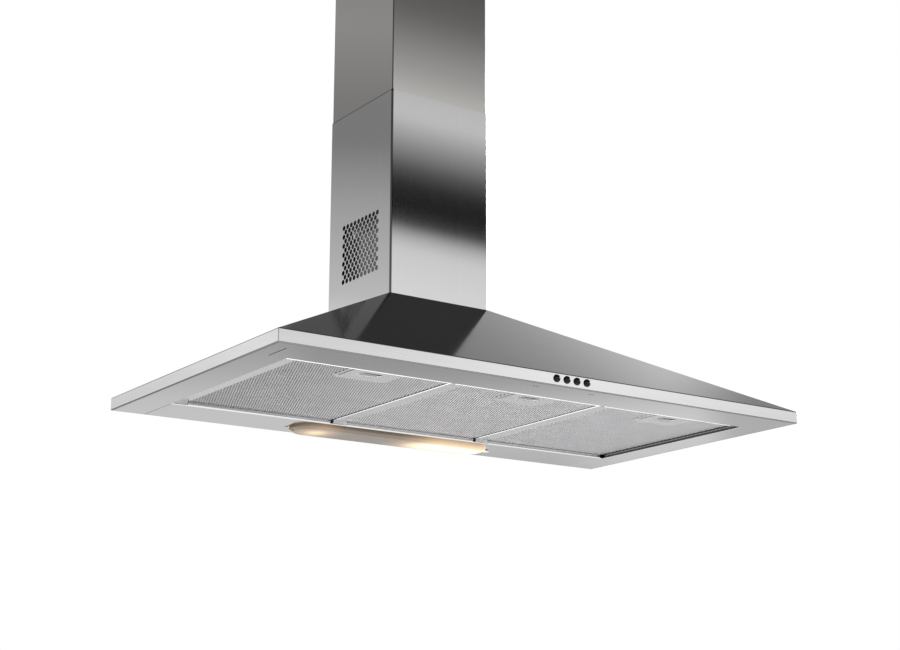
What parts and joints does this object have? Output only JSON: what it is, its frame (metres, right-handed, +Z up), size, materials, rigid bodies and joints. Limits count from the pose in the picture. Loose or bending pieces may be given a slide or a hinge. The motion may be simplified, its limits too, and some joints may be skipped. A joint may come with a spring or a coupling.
{
  "type": "range hood",
  "caption": "Wall-mounted pyramid chimney range hood with mesh grease filters, lamp lens, push buttons, fan unit and telescopic stainless chimney.",
  "frame": {"origin": "centre of the four wall holes, on the wall plane behind the rear panel", "axes": "+X to the right as seen from the room, +Y into the wall, +Z up; the front fascia faces -Y"},
  "size_m": [0.9, 0.5042, 0.8573],
  "materials": {
    "stainless_shell": "brushed stainless steel",
    "silver_steel": "satin silver",
    "galvanised": "dull galvanised sheet",
    "filter_frame": "satin",
    "filter_mesh": "expanded mesh",
    "latch": "satin grey",
    "spring": "plain",
    "lens": "frosted translucent",
    "bulb_glass": "opal glass",
    "ceramic": "white ceramic",
    "button": "glossy black",
    "switch": "matte black",
    "impeller": "moulded grey",
    "motor": "dark lacquer",
    "shaft": "ground steel",
    "collar": "moulded black",
    "terminal_box": "moulded grey",
    "capacitor": "drawn can",
    "screw": "zinc plated"
  },
  "bodies": {
    "hood": {"blower_cradle": "galvanised", "blower_housing": "galvanised", "blower_side_plate": "galvanised", "bottom_frame": "silver_steel", "cable_gland": "terminal_box", "canopy_shell": "stainless_shell", "capacitor": "capacitor", "cradle_screws": "screw", "lamp_bulb_left": "bulb_glass", "lamp_bulb_right": "bulb_glass", "lamp_holder_left": "ceramic", "lamp_holder_right": "ceramic", "lamp_housing": "galvanised", "light_panel": "silver_steel", "lower_cover": "stainless_shell", "motor": "motor", "motor_bracket": "galvanised", "outlet_collar": "collar", "rear_panel": "galvanised", "switch_block": "switch", "terminal_box": "terminal_box", "terminal_lid": "terminal_box", "terminal_lid_screws": "screw"},
    "upper_chimney": {"upper_cover": "stainless_shell", "chimney_bracket": "galvanised", "cover_screws": "screw"},
    "filter_left": {"filter_left_frame": "filter_frame", "filter_left_core": "filter_mesh", "filter_left_spring": "spring"},
    "latch_left": {"filter_left_latch": "latch"},
    "filter_middle": {"filter_middle_frame": "filter_frame", "filter_middle_core": "filter_mesh", "filter_middle_spring": "spring"},
    "latch_middle": {"filter_middle_latch": "latch"},
    "filter_right": {"filter_right_frame": "filter_frame", "filter_right_core": "filter_mesh", "filter_right_spring": "spring"},
    "latch_right": {"filter_right_latch": "latch"},
    "button_1": {"button_1": "button"},
    "button_2": {"button_2": "button"},
    "button_3": {"button_3": "button"},
    "button_4": {"button_4": "button"},
    "fan": {"impeller": "impeller", "motor_shaft": "shaft"},
    "flap_front": {"flap_front": "collar"},
    "flap_rear": {"flap_rear": "collar"},
    "lens": {"lens_cover": "lens"}
  },
  "joints": [
    {"name": "upper_cover_slide", "type": "slide", "parent": "hood", "child": "upper_chimney", "axis": [0, 0, 1], "range_m": [-0.24, 0]},
    {"name": "filter_left_hinge", "type": "hinge", "parent": "hood", "child": "filter_left", "pos_m": [-0.265, -0.0925, -0.0948], "axis": [1, 0, 0], "range_deg": [0, 50]},
    {"name": "filter_left_latch_slide", "type": "slide", "parent": "filter_left", "child": "latch_left", "axis": [0, 1, 0], "range_m": [0, 0.005], "stiffness_N_per_m": 600, "springref_m": -0.002},
    {"name": "filter_middle_hinge", "type": "hinge", "parent": "hood", "child": "filter_middle", "pos_m": [0, -0.0925, -0.0948], "axis": [1, 0, 0], "range_deg": [0, 50]},
    {"name": "filter_middle_latch_slide", "type": "slide", "parent": "filter_middle", "child": "latch_middle", "axis": [0, 1, 0], "range_m": [0, 0.005], "stiffness_N_per_m": 600, "springref_m": -0.002},
    {"name": "filter_right_hinge", "type": "hinge", "parent": "hood", "child": "filter_right", "pos_m": [0.265, -0.0925, -0.0948], "axis": [1, 0, 0], "range_deg": [0, 50]},
    {"name": "filter_right_latch_slide", "type": "slide", "parent": "filter_right", "child": "latch_right", "axis": [0, 1, 0], "range_m": [0, 0.005], "stiffness_N_per_m": 600, "springref_m": -0.002},
    {"name": "button_1_press", "type": "slide", "parent": "hood", "child": "button_1", "axis": [0, 1, 0], "range_m": [0, 0.003], "stiffness_N_per_m": 500, "springref_m": -0.001},
    {"name": "button_2_press", "type": "slide", "parent": "hood", "child": "button_2", "axis": [0, 1, 0], "range_m": [0, 0.003], "stiffness_N_per_m": 500, "springref_m": -0.001},
    {"name": "button_3_press", "type": "slide", "parent": "hood", "child": "button_3", "axis": [0, 1, 0], "range_m": [0, 0.003], "stiffness_N_per_m": 500, "springref_m": -0.001},
    {"name": "button_4_press", "type": "slide", "parent": "hood", "child": "button_4", "axis": [0, 1, 0], "range_m": [0, 0.003], "stiffness_N_per_m": 500, "springref_m": -0.001},
    {"name": "fan_spin", "type": "hinge", "parent": "hood", "child": "fan", "pos_m": [0, -0.0955, 0.036], "axis": [1, 0, 0], "continuous": true},
    {"name": "flap_front_hinge", "type": "hinge", "parent": "hood", "child": "flap_front", "pos_m": [0, -0.0995, 0.2535], "axis": [-1, 0, 0], "range_deg": [0, 75]},
    {"name": "flap_rear_hinge", "type": "hinge", "parent": "hood", "child": "flap_rear", "pos_m": [0, -0.0915, 0.2535], "axis": [1, 0, 0], "range_deg": [0, 75]},
    {"name": "lens_hinge", "type": "hinge", "parent": "hood", "child": "lens", "pos_m": [-0.182, -0.047, -0.0972], "axis": [0, 1, 0], "range_deg": [0, 45]}
  ]
}
